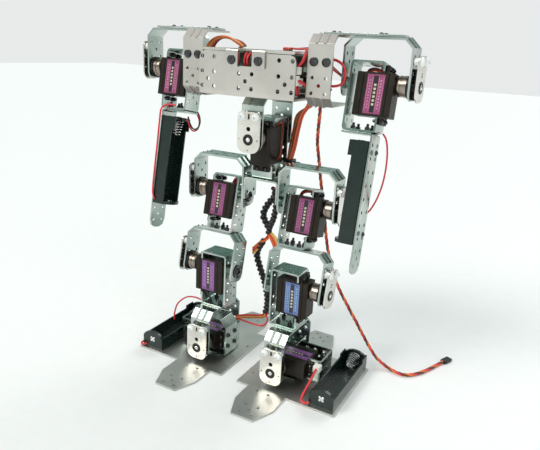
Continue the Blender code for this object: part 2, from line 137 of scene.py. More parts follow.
def make_studio():
    bpy.context.scene.view_settings.view_transform = "Standard"
    world = bpy.data.worlds.new("studio")
    world.use_nodes = True
    bpy.context.scene.world = world
    nodes, links = world.node_tree.nodes, world.node_tree.links
    coords = nodes.new("ShaderNodeTexCoord")
    split = nodes.new("ShaderNodeSeparateXYZ")
    ramp = nodes.new("ShaderNodeValToRGB")
    links.new(coords.outputs["Generated"], split.inputs[0])
    links.new(split.outputs["Z"], ramp.inputs[0])
    links.new(ramp.outputs[0], nodes["Background"].inputs["Color"])
    stops = ramp.color_ramp.elements
    stops[0].position, stops[0].color = 0.10, (0.90, 0.92, 0.92, 1)
    stops[1].position, stops[1].color = 0.90, (0.85, 0.87, 0.87, 1)
    for position, colour in ((0.20, (0.26, 0.46, 0.40, 1)), (0.42, (0.12, 0.24, 0.20, 1)),
                             (0.66, (0.80, 0.84, 0.83, 1))):
        stops.new(position).color = colour
    nodes["Background"].inputs["Strength"].default_value = 0.9
    lamps = (("key", (-0.7, -1.1, 1.3), 1.5, 24, (1.0, 0.98, 0.94)),
             ("fill", (1.2, -0.7, 0.8), 0.5, 40, (0.95, 1.0, 0.98)),
             ("rim", (0.3, 1.2, 1.3), 0.6, 30, (1.0, 1.0, 1.0)))
    for name, place, power, spread, colour in lamps:
        data = bpy.data.lights.new(name, "SUN")
        data.energy, data.angle, data.color = power, math.radians(spread), colour
        lamp = added(name, data)
        lamp.location = place
        lamp.rotation_euler = (Vector((0, 0, 0.18)) - Vector(place)).to_track_quat("-Z", "Y").to_euler()


def make_floor():
    shape = bmesh.new()
    bmesh.ops.create_grid(shape, x_segments=1, y_segments=1, size=6)
    mesh = bpy.data.meshes.new("floor")
    shape.to_mesh(mesh)
    shape.free()
    floor = added("floor", mesh)
    floor.location.z = -0.0002
    mesh.materials.append(finish("pale_floor", (0.93, 0.93, 0.93), 0.6, tone=0.01, grain=0))


# --- materials --------------------------------------------------------
def finish(name, colour, roughness, metallic=0.0, tone=0.12, scale=60, grain=0.06, stretch=(1, 1, 1),
           grain_scale=900, spread=0.08, coat=0.0, specular=0.5, lighter_colour=None):
    """Procedural finish: colour drifts by tone, towards lighter_colour if given; roughness by spread."""
    material = bpy.data.materials.new(name)
    material.use_nodes = True
    nodes, links = material.node_tree.nodes, material.node_tree.links
    shader = nodes["Principled BSDF"]
    for socket, value in (("Metallic", metallic), ("Coat Weight", coat), ("Specular IOR Level", specular)):
        shader.inputs[socket].default_value = value
    coords = nodes.new("ShaderNodeTexCoord").outputs["Object"]

    def noise(size, detail, place):
        node = nodes.new("ShaderNodeTexNoise")
        node.inputs["Scale"].default_value = size
        node.inputs["Detail"].default_value = detail
        links.new(place, node.inputs["Vector"])
        return node.outputs["Fac"]

    ramp = nodes.new("ShaderNodeValToRGB")
    darker = [channel * (1 - tone) for channel in colour]
    lighter = [min(1, channel * (1 + tone)) for channel in (lighter_colour or colour)]
    for stop, position, shade in zip(ramp.color_ramp.elements, (0.3, 0.7), (darker, lighter)):
        stop.position, stop.color = position, (*shade, 1)
    links.new(noise(scale, 4, coords), ramp.inputs[0])
    links.new(ramp.outputs[0], shader.inputs["Base Color"])
    stretched = nodes.new("ShaderNodeMapping")
    stretched.inputs["Scale"].default_value = stretch
    links.new(coords, stretched.inputs["Vector"])
    fine = noise(grain_scale, 3, stretched.outputs[0])
    rough = nodes.new("ShaderNodeMapRange")
    rough.inputs["To Min"].default_value = roughness - spread
    rough.inputs["To Max"].default_value = roughness + spread
    links.new(fine, rough.inputs["Value"])
    links.new(rough.outputs[0], shader.inputs["Roughness"])
    if grain:
        bump = nodes.new("ShaderNodeBump")
        bump.inputs["Strength"].default_value = grain
        bump.inputs["Distance"].default_value = 0.0004
        links.new(fine, bump.inputs["Height"])
        links.new(bump.outputs[0], shader.inputs["Normal"])
    return material


def aluminium(name, colour, lighter_colour, roughness, tone, scale, grain, stretch=(1, 1, 14), spread=0.03):
    """Rolled sheet, its grain drawn out along one direction."""
    return finish(name, colour, roughness, 1.0, tone, scale, grain, stretch, 160, spread,
                  lighter_colour=lighter_colour)


# Its teal tint, and its drift towards light grey from patch to patch, are painted reflections of a greenish
# surround in the base colour.
METAL = aluminium("rolled_aluminium", (0.27, 0.36, 0.325), (0.54, 0.57, 0.54), 0.23, 0.06, 26, 0.012)
# Its warm peach tint is a painted warm reflection in the base colour.
PIVOT_METAL = aluminium("pivot_aluminium", (0.60, 0.55, 0.49), (0.72, 0.71, 0.67), 0.27, 0.05, 30, 0.012)
# Its warm grey tint is a painted warm reflection in the base colour.
CHEST_METAL = aluminium("chest_aluminium", (0.50, 0.47, 0.43), (0.60, 0.57, 0.53), 0.33, 0.05, 16, 0.015)
SOLE_METAL = aluminium("sole_aluminium", (0.50, 0.53, 0.51), (0.64, 0.61, 0.57), 0.42, 0.08, 18, 0.02,
                       (14, 1, 1), 0.04)
STEEL = finish("bright_steel", (0.80, 0.80, 0.80), 0.22, 1.0, 0.05, 200, 0.03)
BRONZE = finish("dark_hub_metal", (0.30, 0.25, 0.21), 0.28, 1.0, 0.15, 150, 0.05, (1, 30, 30), 80)
SERVO_BLACK = finish("servo_case_plastic", (0.017, 0.0120, 0.008), 0.42, 0.0, 0.3, 90, 0.12, specular=0.22)
BLACK = finish("black_horn_plastic", (0.014, 0.013, 0.012), 0.38, 0.0, 0.2, 120, 0.1, specular=0.35)
SCREW_BLACK = finish("black_screw", (0.012, 0.012, 0.013), 0.17, 0.0, 0.2, 200, 0.02, spread=0.03, coat=0.5)
# Its green tint is a painted green sheen in the base colour of the black plastic.
TRAY_BLACK = finish("battery_tray_plastic", (0.005, 0.014, 0.011), 0.27, 0.0, 0.3, 70, 0.02, grain_scale=400,
                    spread=0.03, coat=0.1)
NYLON = finish("white_nylon", (0.86, 0.87, 0.86), 0.35, 0.0, 0.04, 120, 0.08)
BOARD = finish("circuit_board", (0.03, 0.15, 0.08), 0.4, 0.0, 0.3, 300, 0.1)
WHITE_PLASTIC = finish("white_header", (0.80, 0.78, 0.72), 0.4, 0.0, 0.05, 150, 0.1)
WIRE_COLOURS = {"red": (0.70, 0.035, 0.045), "orange": (0.80, 0.17, 0.03), "brown": (0.10, 0.028, 0.018),
                "black": (0.016, 0.016, 0.016), "yellow": (0.80, 0.55, 0.12)}
WIRES = {name: finish(name + "_insulation", colour, 0.38, 0.0, 0.12, 120, 0.05)
         for name, colour in WIRE_COLOURS.items()}
WRAP = finish("black_spiral_wrap", (0.012, 0.012, 0.013), 0.33, 0.0, 0.2, 150, 0.05)
LABEL_LOOKS = {"pink": ((0.30, 0.055, 0.15), (0.60, 0.24, 0.40)),
               "purple": ((0.20, 0.05, 0.25), (0.42, 0.20, 0.46)),
               "magenta": ((0.22, 0.035, 0.13), (0.42, 0.16, 0.30)),
               "blue": ((0.09, 0.14, 0.36), (0.28, 0.42, 0.62))}
LABELS = {name: (finish(name + "_label", looks[0], 0.3, 0.0, 0.10, 400, 0.0, coat=0.4),
                 finish(name + "_label_print", looks[1], 0.3, 0.0, 0.10, 400, 0.0, coat=0.4))
          for name, looks in LABEL_LOOKS.items()}
LABEL_BLACK = finish("label_black_bar", (0.01, 0.01, 0.012), 0.3, 0.0, 0.2, 300, 0.0, coat=0.4)
LABEL_MARK = finish("label_marks", (0.60, 0.55, 0.38), 0.35, 0.0, 0.10, 300, 0.0)


# --- mesh tools -------------------------------------------------------
def block(low, high):
    shape = bmesh.new()
    size = Vector(high) - Vector(low)
    bmesh.ops.create_cube(shape, size=1)
    shape.transform(Matrix.Translation((Vector(low) + Vector(high)) / 2) @ Matrix.Diagonal((*size, 1)))
    return to_mesh(shape)


def to_mesh(shape):
    mesh = bpy.data.meshes.new("shape")
    bmesh.ops.recalc_face_normals(shape, faces=shape.faces)
    shape.to_mesh(mesh)
    shape.free()
    return mesh


AXES = {"X": Matrix.Identity(4), "Y": turned("Z", 90), "Z": turned("Y", -90),
        "-X": turned("Z", 180), "-Y": turned("Z", -90), "-Z": turned("Y", 90)}


def lathe(profile, place=(0, 0, 0), axis="X", sides=20):
    """Closed turned solid: (distance along the axis, radius) pairs, starting and ending at radius 0."""
    shape = bmesh.new()
    rings = []
    for along, radius in profile:
        if radius == 0:
            rings.append([shape.verts.new((along, 0, 0))])
            continue
        turns = [2 * math.pi * step / sides for step in range(sides)]
        rings.append([shape.verts.new((along, radius * math.cos(a), radius * math.sin(a))) for a in turns])
    for before, after in zip(rings, rings[1:]):
        for step in range(sides):
            following = (step + 1) % sides
            corners = [before[step % len(before)], before[following % len(before)],
                       after[following % len(after)], after[step % len(after)]]
            unique = list(dict.fromkeys(corners))
            if len(unique) > 2:
                shape.faces.new(unique)
    shape.transform(Matrix.Translation(place) @ AXES[axis])
    return to_mesh(shape)


def rod(radius, start, end, place=(0, 0, 0), axis="X", sides=16):
    return lathe([(start, 0), (start, radius), (end, radius), (end, 0)], place, axis, sides)


def joined(meshes):
    """Several separate solids in one mesh."""
    shape = bmesh.new()
    for mesh in meshes:
        shape.from_mesh(mesh)
    result = bpy.data.meshes.new("joined")
    shape.to_mesh(result)
    shape.free()
    return result


def modified(mesh, setups):
    """Mesh after a list of (type, settings) modifiers."""
    obj = added("work", mesh)
    for kind, settings in setups:
        modifier = obj.modifiers.new(kind, kind)
        for key, value in settings.items():
            setattr(modifier, key, value)
    bpy.context.view_layer.update()
    graph = bpy.context.evaluated_depsgraph_get()
    result = bpy.data.meshes.new_from_object(obj.evaluated_get(graph))
    bpy.data.objects.remove(obj, do_unlink=True)
    return result


def bevelled(mesh, width, segments=2):
    """Mesh with its edges broken, shaded so that its flat faces stay flat."""
    mesh.shade_smooth()
    return modified(mesh, [("BEVEL", {"width": width, "segments": segments, "limit_method": "ANGLE",
                                      "angle_limit": math.radians(30)}),
                           ("WEIGHTED_NORMAL", {"keep_sharp": True})])


def combined(mesh, operation, other):
    """Boolean of two meshes."""
    tool = added("tool", other)
    result = modified(mesh, [("BOOLEAN", {"operation": operation, "solver": "EXACT", "object": tool})])
    bpy.data.objects.remove(tool, do_unlink=True)
    return result


def cut(mesh, tools):
    """Mesh with the given solids taken out of it."""
    return combined(mesh, "DIFFERENCE", joined(tools))


def united(meshes):
    """Boolean union, one after another."""
    result = meshes[0]
    for other in meshes[1:]:
        result = combined(result, "UNION", other)
    return result


def extruded(outline, along):
    """Solid swept from a flat outline along a direction."""
    shape = bmesh.new()
    face = shape.faces.new([shape.verts.new(point) for point in outline])
    swept = bmesh.ops.extrude_face_region(shape, geom=[face])["geom"]
    corners = [element for element in swept if isinstance(element, bmesh.types.BMVert)]
    bmesh.ops.translate(shape, verts=corners, vec=along)
    return to_mesh(shape)


def frame_mesh(node, matrix=Matrix.Identity(4)):
    """CAD node's mesh in its joint's frame: welded, coplanar faces merged, many-sided ones triangulated."""
    shape = bmesh.new()
    shape.from_mesh(frame["nodes"][node].data)
    shape.transform(matrix.inverted())
    bmesh.ops.remove_doubles(shape, verts=shape.verts, dist=0.00001)
    bmesh.ops.dissolve_limit(shape, angle_limit=math.radians(1), verts=shape.verts, edges=shape.edges)
    many_sided = [face for face in shape.faces if len(face.verts) > 4]
    bmesh.ops.triangulate(shape, faces=many_sided)
    return to_mesh(shape)


def piece(name, mesh, material, body, matrix=Matrix.Identity(4), replaces=None):
    """One visible piece on a body, or on none. A painted mesh has its own materials."""
    if not mesh.materials:
        mesh.materials.append(material)
        if not mesh.has_custom_normals:
            mesh.shade_smooth()
            mesh.set_sharp_from_angle(angle=math.radians(35))
    obj = added(name, mesh)
    obj.matrix_world = matrix
    if body:
        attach(obj, body)
    if replaces:
        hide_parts(replaces)
    return obj


def smooth_path(points, steps=8):
    """Catmull-Rom curve through the points."""
    places = [Vector(point) for point in points]
    places = [2 * places[0] - places[1]] + places + [2 * places[-1] - places[-2]]
    path = []
    for a, b, c, d in zip(places, places[1:], places[2:], places[3:]):
        for step in range(steps):
            t = step / steps
            path.append(0.5 * (2 * b + (c - a) * t + (2 * a - 5 * b + 4 * c - d) * t**2
                               + (3 * b - a - 3 * c + d) * t**3))
    path.append(places[-2])
    return path


def evenly(path, spacing):
    """Points along a path at an even spacing, its ends kept."""
    total = sum((b - a).length for a, b in zip(path, path[1:]))
    count = max(2, round(total / spacing))
    step, result, walked, wanted = total / count, [path[0]], 0.0, total / count
    for a, b in zip(path, path[1:]):
        length = (b - a).length
        while walked + length >= wanted - 1e-9 and len(result) < count:
            result.append(a.lerp(b, (wanted - walked) / length))
            wanted += step
        walked += length
    return result + [path[-1]]


def carried_frames(path):
    """A sideways and an upward direction at each point, carried along without twisting."""
    frames, side = [], None
    for index in range(len(path)):
        along = (path[min(index + 1, len(path) - 1)] - path[max(index - 1, 0)]).normalized()
        if side is None:
            side = along.orthogonal().normalized()
        side = (side - along * side.dot(along)).normalized()
        frames.append((side, along.cross(side)))
    return frames


def tube_mesh(path, radius, sides=8, flat=1.0):
    """Round or flattened wire along a path, with closed ends."""
    shape = bmesh.new()
    rings = []
    for point, (side, up) in zip(path, carried_frames(path)):
        turns = [2 * math.pi * step / sides for step in range(sides)]
        rings.append([shape.verts.new(point + side * radius * math.cos(a) + up * radius * flat * math.sin(a))
                      for a in turns])
    for before, after in zip(rings, rings[1:]):
        for step in range(sides):
            following = (step + 1) % sides
            shape.faces.new((before[step], before[following], after[following], after[step]))
    shape.faces.new(rings[0][::-1])
    shape.faces.new(rings[-1])
    return to_mesh(shape)


def strands(path, offset, radius, pitch, count, sides=8):
    """Paths of wires laid round a centre line, one turn every pitch."""
    frames = carried_frames(path)
    lengths = [0.0]
    for a, b in zip(path, path[1:]):
        lengths.append(lengths[-1] + (b - a).length)
    meshes = []
    for strand in range(count):
        line = []
        for point, (side, up), walked in zip(path, frames, lengths):
            turn = 2 * math.pi * (walked / pitch + strand / count)
            line.append(point + offset * (side * math.cos(turn) + up * math.sin(turn)))
        meshes.append(tube_mesh(line, radius, sides))
    return meshes


def painted(meshes, materials):
    """One mesh from several, each with its own material."""
    shape = bmesh.new()
    result = bpy.data.meshes.new("painted")
    for index, mesh in enumerate(meshes):
        first = len(shape.faces)
        shape.from_mesh(mesh)
        shape.faces.ensure_lookup_table()
        for face in shape.faces[first:]:
            face.material_index = index
            face.smooth = True
    shape.to_mesh(result)
    shape.free()
    for material in materials:
        result.materials.append(material)
    result.set_sharp_from_angle(angle=math.radians(50))
    return result


# --- the free lead, first of all --------------------------------------
FREE_LEAD = [(0.0466, 0.012, 0.3268), (0.0520, 0.0122, 0.3268), (0.0567, 0.0135, 0.319),
             (0.0567, 0.017, 0.300), (0.0515, 0.028, 0.282), (0.0465, 0.040, 0.262), (0.0465, 0.050, 0.236),
             (0.0495, 0.055, 0.207), (0.0550, 0.056, 0.178), (0.0605, 0.056, 0.147), (0.0685, 0.056, 0.119),
             (0.0790, 0.057, 0.0945), (0.0930, 0.059, 0.0715), (0.1070, 0.061, 0.050),
             (0.1196, 0.063, 0.030), (0.1320, 0.066, 0.0125), (0.1470, 0.067, 0.0033),
             (0.1640, 0.0635, 0.0022), (0.1765, 0.070, 0.0022), (0.1870, 0.0865, 0.0022),
             (0.1945, 0.1045, 0.0022), (0.2005, 0.1190, 0.0022)]
LEAD_DIAMETER = 0.004


def make_free_lead():
    path = evenly(smooth_path(FREE_LEAD, 16), 0.0012)
    radius = 0.0011
    meshes = strands(path, LEAD_DIAMETER / 2 - radius, radius, 0.021, 3)
    lead = piece("twisted_free_lead", painted(meshes, [WIRES["red"], WIRES["orange"], WIRES["brown"]]),
                 None, "torso", replaces="free_lead")
    low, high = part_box("lead_connector")
    end, before = path[-1], path[-4]
    along = (end - before).normalized()
    turn = Matrix.Translation(end) @ Matrix.Rotation(math.atan2(along.y, along.x), 4, "Z")
    shell = bevelled(block((GAP, -0.0038, low.z - end.z + 0.0001), (0.0138, 0.0038, high.z - end.z)), 0.0004)
    sockets = [block((0.011, offset - 0.0005, -0.0009), (0.02, offset + 0.0005, 0.0001))
               for offset in (-0.0025, 0, 0.0025)]
    plug = piece("lead_connector_shell", cut(shell, sockets), BLACK, "torso", turn, "lead_connector")


# --- small hardware ---------------------------------------------------
def dome_screw(radius, place, axis, height, socket=True):
    """Domed screw head standing on a surface, with or without a round socket in it."""
    arc = [(height * math.sin(math.radians(a)), radius * math.cos(math.radians(a))) for a in (0, 20, 40, 60)]
    rim = radius * 0.36
    profile = [(-0.0002, 0), (-0.0002, radius)] + arc + [(height, rim)]
    profile += [(height * 0.45, rim * 0.9), (height * 0.45, 0)] if socket else [(height, 0)]
    return lathe(profile, place, axis, 18)


def screw_end(radius, place, axis, height):
    """Nut with the end of a screw standing out of it."""
    nut = lathe([(0, 0), (0, radius), (height * 0.45, radius), (height * 0.5, radius * 0.85),
                 (height * 0.5, 0)], place, axis, 6)
    shank = lathe([(height * 0.45, 0), (height * 0.45, radius * 0.55), (height * 0.9, radius * 0.55),
                   (height, radius * 0.35), (height, 0)], place, axis, 12)
    return [nut, shank]


def quincunx(u, v):
    """A centre and the four corners round it, as in the pressed hole patterns."""
    return [(u, v)] + [(u + du * GRID, v + dv * GRID) for du in (-1, 1) for dv in (-1, 1)]


def corner_ribs():
    """Two pressed ribs that run over a chamfered bend, before they are put on it."""
    stations = (-RIB_LENGTH / 2, -RIB_LENGTH / 3, RIB_LENGTH / 3, RIB_LENGTH / 2)
    return [tube_mesh([Vector((0, offset, z)) for z in stations], 0.0011, 10, 1.6)
            for offset in (-0.0042, 0.0042)]


def moved(mesh, matrix):
    mesh.transform(matrix)
    return mesh


# --- the joint module -------------------------------------------------
def yoke_detail(node, matrix):
    """The yoke with its hole patterns, and the ribs over its two bends."""
    holes = [rod(HOLE, 0.038, 0.046, (x, y, 0), "Z") for x, y in quincunx(0, 0)]
    holes += [rod(HOLE, 0.038, 0.046, (x, 0, 0), "Z") for x in (-0.0185, 0.0185)]
    for z, ys in ((0.027, (-GRID, GRID)), (0.0195, (0,)), (0.012, (-GRID, GRID))):
        holes += [rod(HOLE, -0.036, 0.036, (0, y, z), "X") for y in ys]
    mesh = bevelled(cut(frame_mesh(node, matrix), holes), 0.00022)
    bend_x, bend_z = YOKE_HALF - CHAMFER / 2, YOKE_RISE - CHAMFER / 2
    ribs = []
    for side in (1, -1):
        turn = Matrix.Translation((side * bend_x, 0, bend_z)) @ turned("Y", side * -45)
        ribs += [moved(rib, turn) for rib in corner_ribs()]
    return mesh, joined(ribs)


def servo_bracket_detail(node, matrix):
    """The servo bracket with its hole patterns, and the nuts and screw ends on its lower flange."""
    middle = -0.0089
    holes = [rod(HOLE, 0.016, 0.023, (x, y, 0), "Z") for x, y in quincunx(middle, 0)]
    holes += [rod(HOLE, -0.049, -0.041, (middle, 0, 0), "Z")]
    for z in (0.011, -0.0145, -0.0245, -0.0355):
        holes += [rod(HOLE, -0.029, -0.021, (0, y, z), "X") for y in (-GRID, GRID)]
    for z in (-0.0195, -0.030):
        holes += [rod(0.0014, -0.029, -0.021, (0, 0, z), "X")]
    mesh = bevelled(cut(frame_mesh(node, matrix), holes), 0.00022)
    screws = []
    for dx in (-1, 1):
        for dy in (-1, 1):
            place = (middle + dx * GRID, dy * GRID, -0.044)
            screws += screw_end(0.0026, place, "Z", 0.0062)
    return mesh, joined(screws)


def servo_detail():
    """Servo case in three moulded sections, with ears, lug screws and the boss round its shaft."""
    half = 0.0098
    sections = [block((-0.0192, -half, -0.0305), (-0.0128, half, 0.0102)),
                block((-0.0126, -half, -0.0305), (0.0116, half, 0.0102)),
                block((0.0118, -half, -0.0305), (0.0176, half, 0.0102))]
    case = [bevelled(section, 0.0006) for section in sections]
    ear_slots = [rod(0.0022, 0.006, 0.013, (0, y, z)) for z in (-0.0345, 0.0142) for y in (-0.005, 0.005)]
    ears = bevelled(cut(block((0.0083, 0.0002 - half, -0.0374), (0.0108, half - 0.0002, 0.0171)), ear_slots),
                    0.0003)
    case.append(ears)
    case.append(lathe([(0.0174, 0), (0.0174, 0.0093), (0.0182, 0.0093), (0.0184, 0.0088), (0.0184, 0.0068),
                       (0.0195, 0.0066), (0.0195, 0)], sides=32))
    screws = []
    for z in (-0.0343, 0.0140):
        for y in (-0.005, 0.005):
            screws.append(dome_screw(0.0027, (0.0108, y, z), "X", 0.0022))
            screws += screw_end(0.0027, (0.006, y, z), "-X", 0.0045)
    for z in (-0.0278, 0.0075):
        for y in (-0.0072, 0.0072):
            screws.append(lathe([(-0.0194, 0), (-0.0194, 0.0015), (-0.0188, 0.0016), (-0.0188, 0)],
                                (0, y, z), "X", 12))
    return joined(case), joined(screws)


def label_detail(colour):
    """Generic sticker on a servo's side: a tinted field, a black bar, thin frames and plain dashes."""
    face_y, depth, middle_z = -0.0098, 0.00012, -0.0102
    half_width, half_length, bar, column = 0.0085, 0.01825, 0.0022, 0.0053

    def patch(x0, x1, z0, z1, lift=0):
        return block((x0, face_y - depth - lift, middle_z + z0), (x1, face_y + 0.0002, middle_z + z1))

    base = patch(-half_width, half_width, -half_length, half_length)
    black = patch(-bar, bar, -half_length + 0.0012, half_length - 0.0012, 0.00005)
    frames = [patch(side * column + left, side * column + left + 0.0004, -0.0155, 0.0155, 0.00005)
              for left in (-0.0023, 0.0019) for side in (-1, 1)]
    dashes = []
    for step in range(10):
        z = -0.0135 + step * 0.0028
        dashes.append(patch(0.0044, 0.0060, z, z + 0.0014 + 0.0004 * (step % 2), 0.0001))
        dashes.append(patch(-0.0060, -0.0046, z + 0.0005, z + 0.0016, 0.0001))
    marks = [patch(-0.0011, 0.0011, -0.0105 + step * 0.0036, -0.0084 + step * 0.0036, 0.0001)
             for step in range(6)]
    tint, printed = LABELS[colour]
    return painted([base, black, joined(frames + dashes), joined(marks)],
                   [tint, LABEL_BLACK, printed, LABEL_MARK])


def outer_plate_detail():
    """The plate, nylon screws, bearing, axle screw, hub and horn of a joint, as separate meshes."""
    inner, outer, half, low, high = 0.0383, 0.0400, 0.0132, -0.0137, 0.0282
    drill_from, drill_to = 0.036, 0.042
    post_y, post_z = 0.008, 0.023
    outline = []
    for y, z, radius, first in ((half, low, 0.009, -90), (half, high, 0.005, 0),
                                (-half, high, 0.005, 90), (-half, low, 0.009, 180)):
        centre = (y - math.copysign(radius, y), z + radius if z < 0 else z - radius)
        for step in range(7):
            turn = math.radians(first + step * 15)
            outline.append((centre[0] + radius * math.cos(turn), centre[1] + radius * math.sin(turn)))
    plate = extruded([(inner, y, z) for y, z in outline], (outer - inner, 0, 0))
    holes = [rod(0.0023, drill_from, drill_to, (0, 0, 0.011)), rod(0.0034, drill_from, drill_to),
             block((drill_from, -0.0010, 0.0205), (drill_to, 0.0010, 0.0262))]
    holes += [rod(0.0008, drill_from, drill_to, (0, y, z), sides=10)
              for y, z in ((-0.0105, 0), (0.0105, 0), (0, -0.0110))]
    holes += [rod(0.0029, drill_from, drill_to, (0, y, post_z)) for y in (-post_y, post_y)]
    plate = bevelled(cut(plate, holes), 0.00025)
    nylon = []
    for y in (-post_y, post_y):
        nylon.append(lathe([(0.0338, 0), (0.0338, 0.0036), (0.0381, 0.0036), (0.0381, 0)],
                           (0, y, post_z), "X", 6))
        nylon.append(dome_screw(0.0044, (outer, y, post_z), "X", 0.0034))
    ring = lathe([(0.0336, 0), (0.0336, 0.0052), (0.0381, 0.0052), (0.0402, 0.0058), (0.0408, 0.0052),
                  (0.0408, 0.0034), (0.0400, 0.0032), (0.0400, 0)], sides=28)
    screw = joined([dome_screw(0.0027, (0.0400, 0, 0), "X", 0.0014), rod(0.0021, 0.030, 0.0398)])
    hub = lathe([(0.0198, 0), (0.0198, 0.0092), (0.0208, 0.0099), (0.0228, 0.0099), (0.0230, 0.0095),
                 (0.0250, 0.0095), (0.0252, 0.0100), (0.0284, 0.0100), (0.0290, 0.0094), (0.0290, 0)],
                sides=40)
    horn = lathe([(0.0291, 0), (0.0291, 0.0110), (0.0296, 0.0114), (0.0308, 0.0114), (0.0312, 0.0110),
                  (0.0312, 0)], sides=40)
    arm = bevelled(block((0.0338, -0.0046, -0.0118), (0.0366, 0.0046, 0.0165)), 0.0012, 3)
    return plate, joined(nylon), ring, screw, hub, joined([horn, arm])


def make_modules():
    """The nine joint modules, all from the meshes of one of them."""
    knee_yoke_at, knee_servo_at = next((yoke_at, servo_at) for name, _, yoke_at, _, servo_at in MODULES
                                       if name == "left_knee")
    yoke, ribs = yoke_detail("left_knee_yoke", knee_yoke_at)
    bracket, bracket_screws = servo_bracket_detail("left_knee_servo_bracket", knee_servo_at)
    servo, servo_screws = servo_detail()
    plate, nylon, ring, screw, hub, horn = outer_plate_detail()
    idler = joined([rod(0.0078, 0.0337, 0.0348, axis="-X", sides=24),
                    dome_screw(0.0052, (-0.0348, 0, 0), "-X", 0.0026)])
    labels = {colour: label_detail(colour) for colour in LABELS}
    label_colour = {"left_knee": "blue", "right_knee": "purple", "left_hip": "magenta",
                    "right_hip": "magenta", "left_ankle": "purple", "right_ankle": "purple"}
    sheet = "bracket_aluminium"
    on_yoke = (("yoke_sheet", yoke, METAL, "yoke", sheet), ("yoke_ribs", ribs, METAL, None, sheet),
               ("pivot_plate", plate, PIVOT_METAL, "outer_plate", sheet),
               ("nylon_screws", nylon, NYLON, None, None), ("bearing_ring", ring, BLACK, None, None),
               ("axle_screw", screw, STEEL, None, None), ("hub", hub, BRONZE, None, None),
               ("horn", horn, BLACK, None, None))
    on_servo = (("bracket_sheet", bracket, METAL, "servo_bracket", sheet),
                ("link_screws", bracket_screws, SCREW_BLACK, None, None),
                ("servo_case", servo, SERVO_BLACK, "servo", "servo_plastic"),
                ("servo_screws", servo_screws, SCREW_BLACK, None, None))
    for name, yoke_body, yoke_at, servo_body, servo_at in MODULES:
        for rows, body, place in ((on_yoke, yoke_body, yoke_at), (on_servo, servo_body, servo_at)):
            for part, mesh, material, node, slot in rows:
                piece(f"{name}_{part}", mesh, material, body, place, node and f"{name}_{node}")
        if name.endswith(("hip", "knee")):
            piece(name + "_idler_cap", idler, SCREW_BLACK, servo_body, servo_at)
        if name != "waist":
            front = servo_at.to_3x3() @ Vector((0, -1, 0))
            faces_viewer = front.y < -0.5 or front.z > 0.5
            turned_over = turned("X", 180) @ Matrix.Translation((0, 0, 0.0204))
            label_at = servo_at if faces_viewer else servo_at @ turned_over
            label = labels[label_colour.get(name, "pink")]
            piece(name + "_servo_label", label, None, servo_body, label_at)


# --- chest, feet and arms ---------------------------------------------
def make_plain_sheets():
    """Bent sheets whose CAD shape stays, with their edges broken."""
    sheets = [("chest_plate", "torso", CHEST_METAL), ("chest_beam", "torso", CHEST_METAL),
              ("cross_beam", "torso", METAL), ("pelvis_bracket", "pelvis", METAL)]
    for label in ("left", "right"):
        sheets += [(label + "_shoulder_strap", "torso", METAL),
                   (label + "_side_bracket", "torso", CHEST_METAL),
                   (label + "_arm_strip", label + "_arm", METAL),
                   (label + "_foot_plate", label + "_foot", SOLE_METAL),
                   (label + "_ankle_mount", label + "_foot", METAL)]
    for node, body, material in sheets:
        side = -1 if node.startswith("right") else 1
        mesh = frame_mesh(node)
        holes = extra_holes(node, side)
        if holes:
            mesh = cut(mesh, holes)
        piece(node + "_sheet", bevelled(mesh, 0.00025), material, body, replaces=node)


def arm_matrix(side):
    """Where an arm stands: its shoulder's place, leaning forward, with X outward."""
    label = "left" if side > 0 else "right"
    outward = turned("Z", 0 if side > 0 else 180)
    return Matrix.Translation(joint_place(label + "_shoulder_swing")) @ turned("X", -ARM_TILT) @ outward


def extra_holes(node, side):
    """Cutters for the holes that the CAD sheet leaves out."""
    if node == "chest_plate":
        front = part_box(node)[0].y
        columns = [middle + side * GRID for middle in (-0.0435, 0, 0.0435) for side in (-1, 1)]
        spots = [(x, z) for x in columns for z in (0.319, 0.333)] + [(x, 0.326) for x in (-0.0435, 0, 0.0435)]
        spots += [(x, 0.3475) for x in columns if abs(x) > 0.02]
        notch = block((-0.0080, front - 0.002, 0.3400), (0.0080, front + 0.004, 0.3600))
        return [notch] + [rod(CHEST_HOLE, front - 0.002, front + 0.004, (x, 0, z), "Y") for x, z in spots]
    if node.endswith("side_bracket"):
        low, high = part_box(node)
        middle = (low.x + high.x) / 2
        holes = [rod(HOLE, low.y - 0.002, low.y + 0.004, (x, 0, z), "Y") for x, z in quincunx(middle, 0.3265)
                 if z < 0.334]
        holes += [rod(HOLE, low.z - 0.002, high.z + 0.002, (x, y, 0), "Z")
                  for x in (middle - GRID, middle + GRID) for y in (-0.010, 0.004)]
        return holes
    if node.endswith("arm_strip"):
        at_arm = arm_matrix(side)
        rows = (-0.057, -0.070, -0.083, -0.096, -0.109, -0.122, -0.135, -0.148)
        spots = [(y, z) for z in rows for y in (-GRID, GRID)] + quincunx(0, -0.168)
        return [moved(rod(HOLE, 0.002, 0.009, (0, y, z)), at_arm) for y, z in spots]
    if node.endswith("ankle_mount"):
        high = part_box(node)[1]
        joint = joint_place(("left" if side > 0 else "right") + "_ankle_roll")
        spots = quincunx(abs(joint.x) + 0.006, joint.y)
        return [rod(HOLE, high.z - 0.004, high.z + 0.002, (side * x, y, 0), "Z") for x, y in spots]
    if node == "pelvis_bracket":
        low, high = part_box(node)
        middle = (low.y + high.y) / 2
        return [rod(HOLE, low.x - 0.002, high.x + 0.002, (0, middle + dy, 0.2035), "X")
                for dy in (-GRID, GRID)]
    return []


